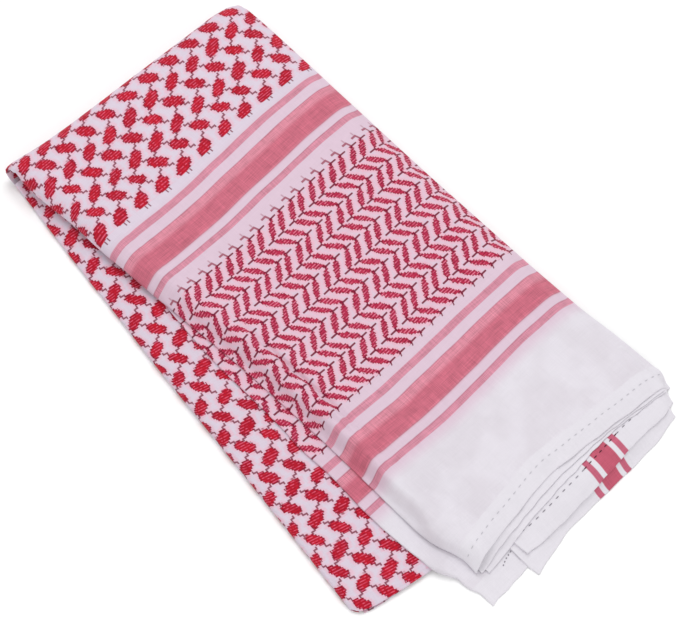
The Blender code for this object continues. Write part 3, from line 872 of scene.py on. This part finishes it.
# Upper inner plies. The thick of the scarf: eight plies of the cotton turned to and fro inside
# the upper half, with their stripes in line with those of the top panel.
UPPER_PLIES = 8
UPPER_END = 122.0
UPPER_SUNK = 1.3              # how much lower than the solid the pressed stack is, at its top
STACK_HEIGHT = 15.0
WEAVE_START = 7.0             # where the surface's middle falls along the weave
TOP_LEFT = ((-166, -52.2), (-154, -53.2), (-144, -53.6), (-133, -53.2), (-118, -52.4),
            (-94, -52.6), (-60, -51.0), (-30, -49.4), (0, -48.4), (50, -48.5),
            (90, -49.8), (115, -50.7), (122, -50.4), (128, -49.0), (134, -46.9), (139, -45.7),
            (150, -45.6))
TOP_RIGHT = ((-166, 94.8), (-148, 95.9), (-128, 95.3), (-90, 93.5), (-53, 92.0), (-17, 90.3),
             (19, 88.8), (53, 87.7), (85, 87.5), (112, 87.9), (132, 88.9), (141, 90.0),
             (150, 88.6))
x, y = plan(edge(FOLD_TIP, FOLD_REACH + FOLD_CLEAR), edge(UPPER_END), edge(TOP_LEFT, 6.2),
            edge(TOP_RIGHT, -3.4), steps(278, 2.0), edged_steps(136, 8, 16, 1.6))[2:]
points = folded_plies(Form("upper_inner_plies"), x, y, UPPER_PLIES,
                      (0.2, -0.5, 0.3, -0.2, 0.1), (0.9, -0.8, 1.1, -0.3), 0.7, 23)
points[..., 2] -= UPPER_SUNK * np.clip(points[..., 2] / STACK_HEIGHT, 0, 1)
upper_inner_plies = make_cloth(
    "upper_inner_cloth", [(points, points[..., 0] - WEAVE_START, run(points, 1, 0))],
    inner_cotton, INNER_CLOTH)
keep(upper_inner_plies, "upper_inner_plies")

# Fourth and fifth stretches. Two white lengths of the border, next below the top panel at its
# hem. Each ends in a plain turned edge, a step short of the one below.
FOURTH_HEM = ((-40, 150.4), (-29, 149.5), (-11, 147.4), (10, 145.6), (25, 144.8), (44, 143.4),
              (60, 143.8), (85, 145.6))
FIFTH_HEM = ((-42, 148.4), (-29, 146.2), (-11, 144.4), (10, 142.2), (25, 142.0), (44, 142.2),
             (60, 143.0), (87, 145.2))
WHITE_WIDTH = 138.0
columns = edged_steps(WHITE_WIDTH, 1.6, 14, 1.2)
for name, near_inset, far_inset, start, hem, seed, lies_on in (
        ("fourth_stretch", 5.0, -4.0, 112.0, FOURTH_HEM, 112, "third_stretch_cloth"),
        ("fifth_stretch", 2.5, -2.0, 116.0, FIFTH_HEM, 116, "fourth_stretch_cloth")):
    x, y = plan(edge(start), uneven_edge(hem, seed), edge(TOP_LEFT, near_inset),
                edge(TOP_RIGHT, far_inset), steps(36, 1.5), columns)[2:]
    z = relax(Form(name).heights(x, y), 8) - CLOTH / 2
    z = lip(z, columns[None, :] + 0 * z, WHITE_WIDTH, 1.4, 0.5)
    to_edge = (len(z) - 1 - np.arange(len(z)))[:, None] * 1.4 + 0 * z
    z = settle(z, cloth_below(below, x, y), to_edge, 10.0,
               CLOTH + 2 * HEM_ROUND - HEM_SUNK) + puckers(y, to_edge, seed)
    points = turn_under(np.stack([x, y, z], -1), 8.0, HEM_ROUND)
    extra = len(points) - len(x)
    piece = make_cloth(name + "_cloth", [(
        points, points[..., 0], np.concatenate([y, np.repeat(y[-1:], extra, 0)]) + NO_BANDS)],
        white_cotton)
    keep(piece, name)
    below += (piece,)

# Fold-end inner plies. Where the scarf is doubled over, the plies inside turn round one within
# another, tight at the middle and loose outside.
NESTED_PLIES = 4
PLY_INSETS = (1.7, 1.55)      # of the outermost inside the top panel, and of each in the next
NOSE_REACH = FOLD_REACH - 1.4
TOP_WIDTH = 146.0
FAR_ROLL = 16.0               # width over which the loose far side lies down
FAR_FALL = 2.5
NEAR_ROLL = 8.5               # width over which the near side bends down
NEAR_FLAT = 0.111             # the share of the width where it starts to
CORNER_FALL = 3.0             # how far it bends down at the fold end
top_form = Form("top_panel", "top_panel_hem")


def far_drop(columns):
    """How far the loose far side of the stack lies down towards its edge."""
    return FAR_FALL * np.clip(1 - (1 - columns) * TOP_WIDTH / FAR_ROLL, 0, 1) ** 1.5


def near_bend(columns):
    """The quarter round that the near side bends down by, from 0 to 1 at its edge."""
    return 1 - np.sqrt(1 - np.clip(1 - columns * TOP_WIDTH / NEAR_ROLL, 0, 1) ** 2)


def fold_end_rows(columns, inset, squeeze, count):
    """Rows round the fold end from the surface up, so far inside its outer face."""
    y = -51.0 + 148.0 * columns
    for _ in range(6):
        x = curve(FOLD_TIP, y) + FOLD_REACH
        left, right = curve(TOP_LEFT, x), curve(TOP_RIGHT, x)
        y = left + (right - left) * columns
    height = relax(top_form.heights(x[None, :] + 0.5, y[None, :]), 6)[0]
    crest = np.interp(NEAR_FLAT, columns, height) - CORNER_FALL * near_bend(columns)
    height = np.where(columns < NEAR_FLAT, np.maximum(height, crest), height) - far_drop(columns)
    rows = []
    for angle in np.linspace(math.pi, 0, count):
        rows.append(np.stack([x - (NOSE_REACH - inset) * math.sin(angle) * squeeze, y,
                              height / 2 + (height / 2 - inset) * math.cos(angle)], -1))
    return np.array(rows)


grids = []
for ply in range(NESTED_PLIES):
    columns = 0.026 + (0.978 - 0.026) * edged_steps(138, 3.0, 14, 1.6)
    points = fold_end_rows(columns, PLY_INSETS[0] + PLY_INSETS[1] * ply, 1 - 0.06 * ply, 15)
    grids.append((points, points[..., 0] - WEAVE_START, run(points, 1, 0)))
fold_end_inner_plies = make_cloth("fold_end_inner_cloth", grids, inner_cotton, 0.4)
keep(fold_end_inner_plies, "fold_end_inner_plies")

# Top panel. The outer ply: from its hem over the whole stack, past two groups of stripes and
# the chevrons to the net, round the fold end and down to the surface.
TOP_HEM = ((-44.7, 146.6), (-29.5, 143.4), (-11, 141.2), (9.7, 138.6), (44, 141.0), (60, 142.2),
           (80, 143.2), (89, 144.6))
LEAN = ((-400, 0.0375), (-112, 0.0375), (-100, 0.075), (-68, 0.075), (-57, 0.061), (38, 0.061),
        (45, 0.05), (300, 0.05))
SIDE_SLACK = ((-54, 3.6), (-38, 2.6), (-25, 1.6), (-12, 0.5), (0, 0), (45, 0), (60, -0.5),
              (75, -1.2), (92, -1.8))        # how far the weave is drawn in along its long sides
TOP_CREASES = (
    (-20, -37.0, 90, 3.0, 0, 0.4), (23, -34.6, 36, 1.3, 0, -2.0), (24, -37.4, 44, 1.6, 0, 1.0),
    (18, -32.0, 40, 1.7, 1, 0.5), (-8, -42.0, 34, 1.3, 2, -1.2), (30, -43.0, 30, 1.4, -2, 0.6),
    (60, -38.5, 18, 1.6, 6, -0.9),
    (-78, -34.5, 24, 2.4, 2, 0.4), (111, 37.5, 26, 6.0, 2, -0.9), (113, 46.0, 24, 6.0, 0, 0.6),
    (112, -33.0, 24, 4.0, 22, -0.9), (114, -22.0, 20, 6.0, 15, 0.8), (113, 4.0, 16, 7.0, 40, 0.6),
    (136, 15.0, 3.0, 14, 4, -0.6), (132, 16.0, 2.4, 12, -8, 0.5), (137, 27.0, 2.0, 9, 20, 0.4),
    (-140, 20, 22, 5, 60, 0.3), (-60, 40, 40, 9, -15, -0.3), (0, 15, 34, 7, 25, 0.35),
    (20, 60, 40, 8, -20, 0.3), (80, 62, 26, 6, 30, -0.35), (70, -5, 30, 6, -35, 0.3),
)
FLAT_COLUMN = 18              # the grid's column where the near side starts to bend down
NEAR_FILL = 0.8               # how much fuller than its solid the near side is
NEAR_FALL = 4.7
BEND_ROWS = 12                # over which the fold end passes into the panel
DRAPE_SHARES = ((-80, -25, 95, 125), (0.1, 1.0, 1.0, 0.6))  # how far the near side is let down

columns = edged_steps(TOP_WIDTH, 1.3, 16, 0.9)
x, y, z, split = hemmed_grid(
    ("top_panel", "top_panel_hem"), below, edge(FOLD_TIP, FOLD_REACH), TOP_HEM,
    edge(TOP_LEFT, 0.8), edge(TOP_RIGHT, 0.4), 300, 1.3, columns, seed=9, passes=14)
full = z[:, [FLAT_COLUMN]] + NEAR_FILL - NEAR_FALL * near_bend(columns)
z += (full - z) * np.clip((FLAT_COLUMN - np.arange(len(columns))) / 6, 0, 1)
rest = relax(cloth_below(below, x, y), 2) + CLOTH + 0.1
z -= np.minimum(far_drop(columns), np.clip(z - rest, 0, None))
z += swells(x, y, TOP_CREASES)
bend_in = np.clip(np.arange(len(x)) / BEND_ROWS, 0, 1)
let_down = settle(z, cloth_below(below, x, y),
                  columns[None, :] * TOP_WIDTH + 8 * (1 - bend_in)[:, None], 7.5, CLOTH + 1.0)
z += (let_down - z) * np.interp(x, *DRAPE_SHARES)
nose = fold_end_rows(columns, CLOTH / 2, 1.0, 26)
z += (nose[-1, :, 2] - z[0]) * (1 - bend_in)[:, None]
points = np.stack([x, y, z], -1)
points = np.concatenate([nose[:-1], points])
split += len(nose) - 1
along, across = weave_places(points, 140, 60)
lean = np.interp(along - WEAVE_START, *np.transpose(LEAN))
top_along = along - 6.95 + lean * (across - 42.55)
net_share = np.interp(top_along, (-112, -100), (1, 0))
top_across = across - 7.55 + 0.031 * (top_along + 138.5) * net_share
slack = curve(SIDE_SLACK, points[..., 1])
top_across -= slack
top_along += slack * np.interp(points[..., 0], (-125, -100), (0, 1))
bend_in = np.concatenate([np.zeros(len(nose) - 1), bend_in])
gap = 0.5 * np.exp(-((points[:, 0, 0] + 100) / 38) ** 4)
near_low = points[:, 0, 2] + bend_in * (
    gap + under_side(below, points, 0, 0.5) - points[:, 0, 2])
top_panel, top_panel_hem = make_hemmed(
    "top_panel", points, split, (top_along, top_across), net_cotton, near_low,
    points[:, -1, 2] - 1.3 * bend_in, NO_BANDS)
keep_hemmed((top_panel, top_panel_hem), "top_panel", ("net_cotton", "white_cotton"))

# Hemstitches. Short threads that hold each turned hem down along its stitch line: white thread
# painted pale grey on the top panel and the lowest stretch, dark grey on the third stretch and at
# the second's corner, maroon across the third's rose bands. The grey and the maroon are painted
# shade of the small holes that the stitching opens.


def stitch_tree():
    """Lays one small rounded stitch after another along a curve."""
    tree = bpy.data.node_groups.new("hemstitches", "GeometryNodeTree")
    tree.interface.new_socket("Geometry", in_out="INPUT", socket_type="NodeSocketGeometry")
    for label, value in (("Pitch", 4.2), ("Length", 2.4), ("Width", 0.45)):
        tree.interface.new_socket(
            label, in_out="INPUT", socket_type="NodeSocketFloat").default_value = value * MM
    tree.interface.new_socket("Thread", in_out="INPUT", socket_type="NodeSocketMaterial")
    tree.interface.new_socket("Geometry", in_out="OUTPUT", socket_type="NodeSocketGeometry")
    given = tree.nodes.new("NodeGroupInput").outputs
    spaced = add_node(tree, "GeometryNodeResampleCurve",
                      {"Curve": given["Geometry"], "Length": given["Pitch"]}, mode="LENGTH")
    bead = add_node(tree, "GeometryNodeMeshUVSphere",
                    {"Segments": 8, "Rings": 6, "Radius": 0.5})
    size = place_at(tree, given["Length"], given["Width"], given["Width"])
    shape = add_node(tree, "GeometryNodeTransform",
                     {"Geometry": bead.outputs["Mesh"], "Scale": size})
    tangent = add_node(tree, "GeometryNodeInputTangent")
    aim = add_node(tree, "FunctionNodeAlignEulerToVector", {"Vector": tangent.outputs[0]},
                   axis="X")
    placed = add_node(tree, "GeometryNodeInstanceOnPoints", {
        "Points": spaced.outputs["Curve"], "Instance": shape.outputs["Geometry"],
        "Rotation": aim.outputs["Rotation"]})
    real = add_node(tree, "GeometryNodeRealizeInstances",
                    {"Geometry": placed.outputs["Instances"]})
    paint = add_node(tree, "GeometryNodeSetMaterial",
                     {"Geometry": real.outputs["Geometry"], "Material": given["Thread"]})
    add_node(tree, "NodeGroupOutput", {"Geometry": paint.outputs["Geometry"]})
    return tree


def stitch_thread(name, colour):
    """Twisted sewing thread, darker in the grooves of its twist: painted shade."""
    material, tree, shader = new_material(name, 0.8)
    place = add_node(tree, "ShaderNodeTexCoord")
    twist_groove_shade = add_node(tree, "ShaderNodeTexWave",
                     {"Scale": 900.0, "Vector": place.outputs["Object"]},
                     bands_direction="DIAGONAL")
    # Bands along the twist are painted shade in the grooves between its strands.
    shade = tint(tree, Strand(tree, twist_groove_shade.outputs["Fac"]) * 0.4, srgb(*colour),
                 srgb(*(c * 0.75 for c in colour)))
    tree.links.new(shade, shader.inputs["Base Color"])
    return material


def stitch_line(name, surface, rows_from_edge, shares, pitch, length, width, thread):
    """Stitches along a hem, on its top ply, between two shares of its width."""
    first, last = (int(round(share * (surface.shape[1] - 1))) for share in shares)
    columns = np.arange(first, last + 1)
    rows = np.linspace(*rows_from_edge, len(columns))
    whole, part = np.floor(rows).astype(int), (rows % 1)[:, None]
    top = surface[-1 - whole, columns] * (1 - part) + surface[-2 - whole, columns] * part
    top = top + np.array([0, 0, CLOTH / 2 + 0.05])
    line = bpy.data.curves.new(name + "_line", "CURVE")
    line.dimensions = "3D"
    spline = line.splines.new("POLY")
    spline.points.add(len(top) - 1)
    for point, place in zip(spline.points, top):
        point.co = (*(place * MM), 1.0)
    holder = bpy.data.objects.new(name + "_line", line)
    scene.collection.objects.link(holder)
    made = holder.modifiers.new("stitches", "NODES")
    made.node_group = stitches
    values = {"Pitch": pitch * MM, "Length": length * MM, "Width": width * MM, "Thread": thread}
    for item in stitches.interface.items_tree:
        if item.name in values:
            made[item.identifier] = values[item.name]
    mesh = bpy.data.meshes.new_from_object(
        holder.evaluated_get(bpy.context.evaluated_depsgraph_get()))
    bpy.data.objects.remove(holder)
    mesh.name = name
    mesh.shade_smooth()
    piece = bpy.data.objects.new(name, mesh)
    scene.collection.objects.link(piece)
    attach(piece, "root")


scene = bpy.context.scene
stitches = stitch_tree()
# Stitch colours: thread and painted shade together, darkened for the shade in the small holes that
# the hemstitch opens.
pale_thread_and_hole_shade = stitch_thread("pale_thread_and_hole_shade", (192, 190, 196))
grey_thread_and_hole_shade = stitch_thread("grey_thread_and_hole_shade", (138, 134, 142))
maroon_thread_and_hole_shade = stitch_thread("maroon_thread_and_hole_shade", (84, 10, 34))
for name, panel, rows, shares, pitch, length, width, thread in (
        ("top_panel_stitches", "top_panel", (5, 5), (0.02, 0.98), 4.1, 1.9, 0.42, pale_thread_and_hole_shade),
        ("third_stretch_stitches_near", "third_stretch", (7, 7), (0.02, 0.45), 4.3, 2.2, 0.5,
         grey_thread_and_hole_shade),
        ("third_stretch_stitches_bands", "third_stretch", (7, 7), (0.46, 0.67), 3.6, 2.0, 0.6,
         maroon_thread_and_hole_shade),
        ("third_stretch_stitches_far", "third_stretch", (7, 7), (0.68, 0.99), 4.3, 2.2, 0.5,
         grey_thread_and_hole_shade),
        ("lowest_stretch_stitches", "lowest_stretch", (5, 5), (0.5, 0.98), 4.5, 1.7, 0.42,
         pale_thread_and_hole_shade),
        ("second_panel_stitches", "second_panel", (6.5, 8.2), (0.262, 0.375), 1.8, 1.0, 0.6,
         grey_thread_and_hole_shade)):
    stitch_line(name, HEM_SURFACES[panel], rows, shares, pitch, length, width, thread)

# Floor, lights and camera. A plain pale floor under soft light: one wide lamp above the far left
# side, and a weaker one at the near right.
scene.view_settings.view_transform = "Standard"
floor_mesh = bpy.data.meshes.new("floor")
floor_mesh.from_pydata([(-3, -3, 0), (3, -3, 0), (3, 3, 0), (-3, 3, 0)], [], [(0, 1, 2, 3)])
floor = bpy.data.objects.new("floor", floor_mesh)
scene.collection.objects.link(floor)
paper, _, shader = new_material("floor_paper", 0.9)
shader.inputs["Base Color"].default_value = (0.93, 0.93, 0.93, 1)
floor_mesh.materials.append(paper)

studio = bpy.data.worlds.new("studio")
studio.use_nodes = True
background = studio.node_tree.nodes["Background"].inputs
background["Color"].default_value = (1, 1, 1, 1)
background["Strength"].default_value = 0.75
scene.world = studio
for name, place, size, watts in (("key", (-0.7, 0.5, 1.6), 1.2, 14.5),
                                 ("fill", (1.3, -0.5, 0.9), 1.2, 6.0)):
    light = bpy.data.lights.new(name, "AREA")
    light.size, light.energy = size, watts
    lamp = bpy.data.objects.new(name, light)
    lamp.location = place
    lamp.rotation_euler = (-Vector(place)).to_track_quat("-Z", "Y").to_euler()
    scene.collection.objects.link(lamp)

camera_place = Vector((0.4627, -0.4482, 1.1224))
looks_at = Vector((0.0045, 0.010, 0.0))
camera_data = bpy.data.cameras.new("camera")
camera_data.sensor_width = 36.0
camera_data.lens = 142.9
camera = bpy.data.objects.new("camera", camera_data)
camera.location = camera_place
camera.rotation_euler = (looks_at - camera_place).to_track_quat("-Z", "Y").to_euler()
scene.collection.objects.link(camera)
scene.camera = camera
